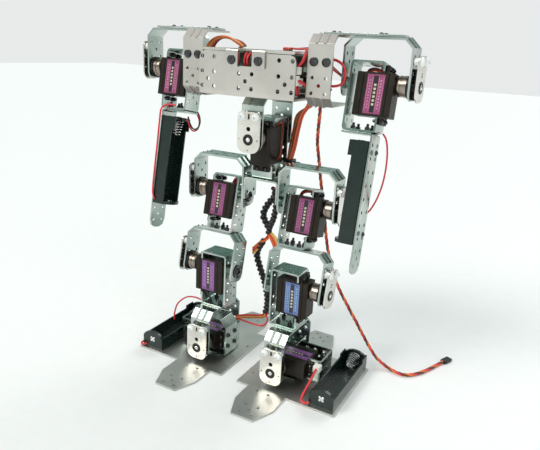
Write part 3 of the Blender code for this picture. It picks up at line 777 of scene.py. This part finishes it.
def make_bracket_ribs():
    """Pressed ribs over the chamfered bends of the side brackets."""
    low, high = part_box("left_side_bracket")
    ribs = []
    for side in (-1, 1):
        for z, lean in ((high.z - CHAMFER / 2, -45), (low.z + CHAMFER / 2, 45)):
            place = Matrix.Translation((side * (low.x + high.x) / 2, low.y + CHAMFER / 2, z))
            turn = place @ turned("X", lean) @ turned("Z", 90)
            ribs += [moved(rib, turn) for rib in corner_ribs()]
    piece("side_bracket_ribs", joined(ribs), CHEST_METAL, "torso")


def make_body_screws():
    """Domed black screws on the chest, the side brackets, the straps and the ankle mounts."""
    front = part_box("chest_beam")[0].y
    screws = [dome_screw(0.0047, (x, front, 0.3455), "-Y", 0.0036, False) for x in (-0.0150, 0.0150)]
    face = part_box("left_side_bracket")[0].y
    screws += [dome_screw(0.0045, (side * x, face, 0.3480), "-Y", 0.0035, False)
               for side in (-1, 1) for x in (0.0660, 0.0785)]
    piece("chest_screws", joined(screws), SCREW_BLACK, "torso")
    straps = [dome_screw(0.0024, (side * x, y, 0.3753), "Z", 0.0016)
              for side in (-1, 1) for x in (0.072, 0.1187) for y in (0.0016, 0.0158)]
    piece("strap_screws", joined(straps), SCREW_BLACK, "torso")
    for label, side in (("left", 1), ("right", -1)):
        heads = [dome_screw(0.0027, (0.0083, 0, z), "X", 0.0020) for z in (-0.0640, -0.1435)]
        piece(label + "_strip_screws", joined(heads), SCREW_BLACK, label + "_arm", arm_matrix(side))
        low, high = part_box(label + "_ankle_mount")
        wall = low.x if side > 0 else high.x
        axis = "-X" if side > 0 else "X"
        joint = joint_place(label + "_ankle_roll")
        heads = [dome_screw(0.0030, (wall, joint.y + dy, joint.z + dz), axis, 0.0024)
                 for dy in (-GRID, GRID) for dz in (-GRID * 0.8, GRID * 1.2)]
        piece(label + "_ankle_mount_screws", joined(heads), SCREW_BLACK, label + "_foot")


def tray_detail():
    """Battery tray: end walls with round tops, lowered sides, cheeks, a spring, a contact and rivets."""
    half_w, half_l, wall, end_wall, cell_z = 0.014, 0.050, 0.0016, 0.0035, 0.0118
    floor = block((-half_w, -half_l, 0), (half_w, half_l, wall))
    sides = [block((side * half_w - (wall if side > 0 else 0), -half_l, 0),
                   (side * half_w + (0 if side > 0 else wall), half_l, 0.0150)) for side in (-1, 1)]
    ends = []
    for side in (-1, 1):
        outline = [(-half_w, 0.0), (half_w, 0.0)]
        for step in range(13):
            turn = math.radians(step * 15)
            outline.append((half_w * math.cos(turn), 0.0125 + 0.0095 * math.sin(turn)))
        inner_y = side * (half_l - end_wall)
        ends.append(extruded([(x, inner_y, z) for x, z in outline], (0, side * end_wall, 0)))
    cheeks = [block((sx * half_w - (wall if sx > 0 else 0), half_l - 0.0150, 0.0),
                    (sx * half_w + (0 if sx > 0 else wall), half_l - 0.0005, 0.0190)) for sx in (-1, 1)]
    shell = united([floor] + sides + ends + cheeks)
    spring_path = []
    per_turn, steps, start = 14, 77, half_l - 0.0040
    for step in range(steps):
        angle = 2 * math.pi * step / per_turn
        radius = 0.0076 - 0.0032 * step / steps
        spring_path.append(Vector((radius * math.cos(angle), start - 0.016 * step / steps,
                                   cell_z + radius * math.sin(angle))))
    spring = tube_mesh(spring_path, 0.00048, 6)
    contact = lathe([(0, 0), (0, 0.0042), (0.0005, 0.0042), (0.0012, 0.0022), (0.0012, 0)],
                    (0, 0.0036 - half_l, cell_z), "Y", 20)
    rivets = []
    for side in (-1, 1):
        axis = "Y" if side > 0 else "-Y"
        spots = [(0, 0)] + [(0.0024 * math.cos(a), 0.0024 * math.sin(a))
                            for a in (math.radians(45 + 90 * step) for step in range(4))]
        rivets += [dome_screw(0.0016, (x, side * half_l, cell_z + z), axis, 0.0008, False) for x, z in spots]
    return bevelled(shell, 0.0004), joined([spring, contact] + rivets)


def make_trays():
    tray, contacts = tray_detail()
    facing_in = Matrix(((0, 0, -1, 0), (-1, 0, 0, 0), (0, 1, 0, 0), (0, 0, 0, 1)))
    for label, side in (("left", 1), ("right", -1)):
        low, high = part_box(label + "_foot_battery_holder")
        on_sole = Matrix.Translation(((low.x + high.x) / 2, (low.y + high.y) / 2, low.z))
        on_arm = arm_matrix(side) @ Matrix.Translation((0.0040, 0, -0.104)) @ facing_in
        for place, body, matrix in (("foot", label + "_foot", on_sole), ("arm", label + "_arm", on_arm)):
            node = f"{label}_{place}_battery_holder"
            piece(node + "_tray", tray, TRAY_BLACK, body, matrix, node)
            piece(node + "_contacts", contacts, STEEL, body, matrix)


def make_controller():
    """Circuit board on standoffs, with a row of white headers in front and black ones behind."""
    low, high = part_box("controller_board")
    bottom, top, header_top, pitch = 0.3212, 0.3228, 0.3305, 0.0082
    board = bevelled(block((low.x, low.y, bottom), (high.x, high.y, top)), 0.0002)
    posts = [rod(0.0022, 0.3133, bottom, (side * 0.042, y, 0), "Z")
             for side in (-1, 1) for y in (-0.013, 0.027)]
    piece("controller_circuit_board", board, BOARD, "torso", replaces="controller_board")
    piece("board_standoffs", joined(posts), STEEL, "torso")
    white, black = [[block((-0.036 + step * pitch, y, top), (-0.029 + step * pitch, y + 0.007, header_top))
                     for step in range(8)] for y in (-0.0155, 0.0205)]
    piece("servo_headers_front", bevelled(joined(white), 0.0003), WHITE_PLASTIC, "torso")
    black += [block((-0.012, -0.003, top), (0.012, 0.015, 0.3262)),
              block((0.0368, 0.0085, top), (0.0454, 0.0155, 0.3298))]
    piece("servo_headers_back", bevelled(joined(black), 0.0003), BLACK, "torso")


# --- wiring held by the robot, its routes in millimetres --------------
def route_path(route, spacing, steps=8):
    """Evenly spaced points, in metres, on a smooth curve through a route in millimetres."""
    return evenly(smooth_path([(x / 1000, y / 1000, z / 1000) for x, y, z in route], steps), spacing)


def wire(name, route, colour, body, radius, matrix=Matrix.Identity(4)):
    path = route_path(route, radius * 2.5)
    return piece(name, painted([tube_mesh(path, radius)], [WIRES[colour]]), None, body, matrix)


def ribbon(name, route, body, radius, colours=("brown", "red", "orange"), matrix=Matrix.Identity(4)):
    """Flat three-wire servo lead."""
    path = route_path(route, 0.002)
    frames = carried_frames(path)
    spacing = radius * 1.9
    meshes = [tube_mesh([point + side * shift for point, (side, _) in zip(path, frames)], radius)
              for shift in (-spacing, 0, spacing)]
    return piece(name, painted(meshes, [WIRES[colour] for colour in colours]), None, body, matrix)


LEG_HARNESS = [(13, 29, 214), (6, 30, 200), (-5, 29, 186), (-9.5, 27.5, 172), (-2, 26.5, 160),
               (-1, 26.5, 148), (-10, 26.5, 137), (-15, 26.5, 123), (-10, 26.5, 107), (-3, 27.5, 89),
               (1.5, 28.5, 67), (0, 28, 48)]


def make_leg_harness():
    """Bundle of servo leads in black spiral wrap, bare for a short stretch where it branches."""
    path = route_path(LEG_HARNESS, 0.0007, 16)
    core = strands(path, 0.0013, 0.0011, 0.045, 3)
    piece("leg_harness_wires", painted(core, [WIRES["orange"], WIRES["red"], WIRES["brown"]]), None,
          "pelvis", replaces="leg_harness")
    bare_from, bare_to = int(len(path) * 0.36), int(len(path) * 0.46)
    for name, stretch in (("upper", path[:bare_from]), ("lower", path[bare_to:])):
        coil = strands(stretch, 0.0018, 0.0026, 0.0056, 1, 10)
        piece(f"leg_harness_{name}_wrap", painted(coil, [WRAP]), None, "pelvis")


SERVO_LEAD = [(-14, 4, 9.8), (-13, 7.5, 14), (-9, 12.5, 15.8), (-4, 16.5, 14.5), (-0.5, 18.8, 9),
              (1, 19.2, 1), (0, 18.5, -10), (-3, 16.5, -20), (-6, 12, -26.2)]


def make_servo_leads():
    """Three-wire lead that comes out over each servo but the ankles' and runs down behind it."""
    for name, _, _, servo_body, servo_at in MODULES:
        if name.endswith("ankle"):
            continue
        behind = 1 if (servo_at.to_3x3() @ Vector((0, 1, 0))).y > -0.1 else -1
        route = [(x, behind * y, z) for x, y, z in SERVO_LEAD]
        ribbon(name + "_servo_lead", route, servo_body, 0.0007, matrix=servo_at)


def make_chest_leads():
    """Servo leads from the controller's rear headers, out over the chest to both side brackets."""
    for index in range(8):
        x = -32.5 + index * 8.2
        side = -1 if index < 4 else 1
        order = index if side < 0 else 7 - index
        rise, back = 1.2 * order, 2.8 * order
        route = [(x, 24, 330), (x + side, 25.5, 339), (x + side * 6, 18 + back, 343.5 + rise),
                 (side * 44, 4 + back, 345 + rise), (side * 54.5, 2 + back, 345.5 + rise),
                 (side * 64, 2 + back, 346), (side * 72, 3 + back * 0.6, 342), (side * 81, 6, 336)]
        colours = ("red", "orange", "brown") if index % 2 else ("brown", "red", "orange")
        ribbon(f"chest_lead_{index}", route, "torso", 0.0008, colours)


def make_roof_wires():
    """Loose wires over the chest's roof, behind its front notch and at its side brackets."""
    for index, colour in enumerate(("red", "black", "red", "orange", "red")):
        shift = 2.3 * index
        route = [(57, 1 + shift, 340), (56.9, 2 + shift, 352), (53, 6 + shift, 358.8),
                 (38, 15 + shift, 359 + 0.6 * (index % 2)), (22, 23 + shift, 358.4),
                 (13 - shift, 33, 358.4), (9 - shift, 39, 356), (10 - shift, 40, 344),
                 (20 - shift, 40.2, 332 - shift / 2), (42, 40.2, 327 - shift / 2),
                 (55.5, 37, 325 - shift / 2), (56, 27, 324 - shift / 2)]
        wire(f"chest_roof_wire_{index}", route, colour, "torso", 0.0010)
    for index in range(2):
        shift = 2.4 * index
        route = [(50, -30 + shift, 342), (55.5, -30 + shift, 348), (56.2, -25 + shift, 356),
                 (51, -16 + shift, 358.8), (40, -2 + shift, 358.8), (30, 12 + shift, 358.4),
                 (25, 26 + shift, 358.4)]
        wire(f"chest_corner_wire_{index}", route, "red", "torso", 0.0011)
    for index, (x, colour) in enumerate(((-5.5, "red"), (-1.8, "red"), (2.4, "black"), (5.8, "red"))):
        route = [(x * 1.5, -18, 333), (x, -30, 338), (x * 0.9, -34.5, 345), (x * 1.1 + 1, -31, 351.5),
                 (x * 2 + 3, -18, 351)]
        wire(f"chest_front_wire_{index}", route, colour, "torso", 0.0012)
    loop = [(74.5, -10, 350), (80, -9.5, 350.5), (88, -8.5, 346), (90.5, -8, 337.2), (88, -7.8, 329),
            (80, -9.5, 326.2), (74, -10, 327)]
    wire("side_bracket_loop", loop, "red", "torso", 0.0013)
    bundle = (("orange", 0), ("yellow", 3), ("orange", 6.2), ("red", 9), ("brown", 12.5))
    for index, (colour, shift) in enumerate(bundle):
        route = [(-78, shift, 345), (-71, 1 + shift, 360), (-63, 4 + shift, 366),
                 (-53, 8 + shift, 366.8 - shift / 6), (-46, 13 + shift, 362.5),
                 (-43.5, 20 + shift * 0.8, 359), (-47, 29 + shift * 0.5, 358.6),
                 (-53.5, 33 + shift * 0.2, 355.5), (-56.6, 32, 345), (-56.8, 27, 335)]
        wire(f"right_shoulder_bundle_{index}", route, colour, "torso", 0.0012)


def make_side_connectors():
    """White plugs and their wires at the left end of the controller board."""
    plugs = [block((0.0440, -0.0350, 0.3250), (0.0530, -0.0275, 0.3345)),
             block((0.0460, -0.0340, 0.3355), (0.0540, -0.0265, 0.3425)),
             block((0.0400, -0.0260, 0.3240), (0.0520, -0.0180, 0.3320))]
    piece("side_connectors", bevelled(joined(plugs), 0.0006), WHITE_PLASTIC, "torso")
    for index, colour in enumerate(("red", "black", "red")):
        shift = 2.4 * index
        power = [(52, -31 + shift, 330), (56.2, -30 + shift, 328), (60, -22 + shift, 324),
                 (68, -17 + shift, 321), (78, -12 + shift, 323)]
        signal = [(50, -30 + shift, 326), (52, -31 + shift, 319), (48, -24 + shift, 316),
                  (40, -14 + shift, 316)]
        wire(f"side_power_wire_{index}", power, colour, "torso", 0.0011)
        wire(f"side_signal_wire_{index}", signal, colour, "torso", 0.0011)


def make_waist_wiring():
    """Leads that leave the chest on the left, pass the waist and are tied at the pelvis."""
    for index in range(5):
        shift = 2.1 * index
        route = [(38, 20 + shift, 318), (40, 30 + shift, 312), (34, 37 + shift, 301),
                 (26 - shift, 39 + shift, 289), (22.5 - shift, 38.5 + shift, 272),
                 (20.5 - shift, 36.5 + shift, 254), (18 - shift / 2, 34 + shift / 2, 240),
                 (15.5, 31.5, 228), (13.8, 29.5, 217)]
        colours = ("brown", "orange", "brown") if index % 2 else ("orange", "red", "orange")
        lead = ribbon(f"waist_lead_{index}", route, None, 0.0010, colours)
        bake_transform(lead)
    tie = bevelled(block((0.0108, 0.0290, 0.2375), (0.0222, 0.0408, 0.2412)), 0.0010)
    tail = bevelled(block((0.0215, 0.0318, 0.2374), (0.0300, 0.0352, 0.2392)), 0.0006)
    piece("waist_lead_tie", joined([tie, tail]), WRAP, "pelvis")


def make_leg_wiring():
    """Branches of the harness between the legs, one wrapped and the others bare."""
    path = route_path([(5.6, 22.5, 208), (9.5, 21.5, 190), (7, 22, 173), (1, 25, 160), (-1, 26.2, 150)],
                      0.0007)
    coil = strands(path, 0.0016, 0.0024, 0.0052, 1, 10)
    piece("harness_upper_branch_wrap", painted(coil, [WRAP]), None, "pelvis")
    piece("harness_upper_branch_wires", painted([tube_mesh(path, 0.0016)], [WIRES["red"]]), None, "pelvis")
    for index, colour in enumerate(("orange", "red", "orange", "yellow")):
        shift = 2.2 * index
        left = [(-2, 26.2, 156), (1.5 + shift, 25.8, 149), (8 + shift, 24, 140),
                (12.5 + shift / 2, 21.5, 130), (18, 19 - shift, 122)]
        right = [(-8, 26.2, 142), (-13, 24, 137 - shift), (-18.2, 21.5, 131 - shift)]
        wire(f"left_branch_{index}", left, colour, "pelvis", 0.0017)
        wire(f"right_branch_{index}", right, colour, "pelvis", 0.0014)
    ankle = [(0, 28, 50), (-2, 26.5, 45), (-10, 23, 43.5), (-18, 18.5, 43.5), (-25, 13, 43.5),
             (-31, 8.5, 42.5)]
    ribbon("ankle_lead", ankle, "pelvis", 0.0011, ("orange", "yellow", "red"))
    power = [(1, 27, 49), (8, 19, 45), (6, 11, 40.8), (-8, 9.5, 40.2), (-20, 9.8, 40.5), (-30.5, 9, 41)]
    wire("ankle_power", power, "red", "pelvis", 0.0011)


ARM_TRAY_LEAD = [(-14, 15, -42), (-5, 17.2, -41.8), (3.5, 17.2, -47), (5, 16.3, -60), (4.8, 16, -85),
                 (4.6, 16, -115), (4, 15.8, -140), (1, 15, -150)]
ARM_LOOP = [(-20, 2, -40), (-21.5, -5, -42), (-22.5, -16, -48), (-22.8, -21.5, -56), (-22.6, -20, -64),
            (-22.2, -12, -67), (-21.5, -5, -62), (-19.5, -2, -54)]


def make_arm_wiring():
    """The right arm's red lead beside its tray, the loop above it, and the left arm's red lead."""
    path = route_path(ARM_TRAY_LEAD, 0.002)
    piece("right_arm_tray_lead", painted([tube_mesh(path, 0.0010)], [WIRES["red"]]), None, "right_arm",
          arm_matrix(-1), "right_arm_lead")
    for colour, offset in (("red", 0), ("black", 2.2)):
        route = [(x - offset * 0.3, y, z + offset) for x, y, z in ARM_LOOP]
        wire("right_arm_loop_" + colour, route, colour, "right_arm", 0.0009, arm_matrix(-1))
    left_lead = frame["nodes"]["left_arm_lead"].data
    left_lead.materials.clear()
    left_lead.materials.append(WIRES["red"])


def make_foot_wiring():
    """Red leads of the battery trays on the feet."""
    wire("left_tray_lead", [(93, -23.5, 30), (94, -31, 29), (92.5, -40, 20), (90, -47, 11),
                            (90.5, -53, 6.2), (95, -54.5, 5.8), (99, -51.5, 6.6)],
         "red", "left_foot", 0.0014)
    plug = bevelled(block((0.0895, -0.0255, 0.0262), (0.0970, -0.0175, 0.0332)), 0.0005)
    piece("left_tray_plug", plug, WHITE_PLASTIC, "left_foot")
    wire("right_tray_front_lead", [(-121, -50.2, 6), (-122.2, -53.5, 5.8), (-126, -54, 5.6),
                                   (-127.6, -50, 5.8), (-127.4, -43, 6.4)],
         "red", "right_foot", 0.0012)
    wire("right_tray_lead", [(-118, 0, 18), (-118, 1, 28), (-116.5, 6, 39), (-108, 13, 47),
                             (-96, 17, 48), (-86, 18, 45), (-78, 16, 40)],
         "red", "right_foot", 0.0010)


make_camera()
make_free_lead()
make_studio()
make_floor()
make_modules()
make_plain_sheets()
make_bracket_ribs()
make_body_screws()
make_trays()
make_controller()
make_leg_harness()
make_servo_leads()
make_chest_leads()
make_roof_wires()
make_side_connectors()
make_waist_wiring()
make_leg_wiring()
make_arm_wiring()
make_foot_wiring()
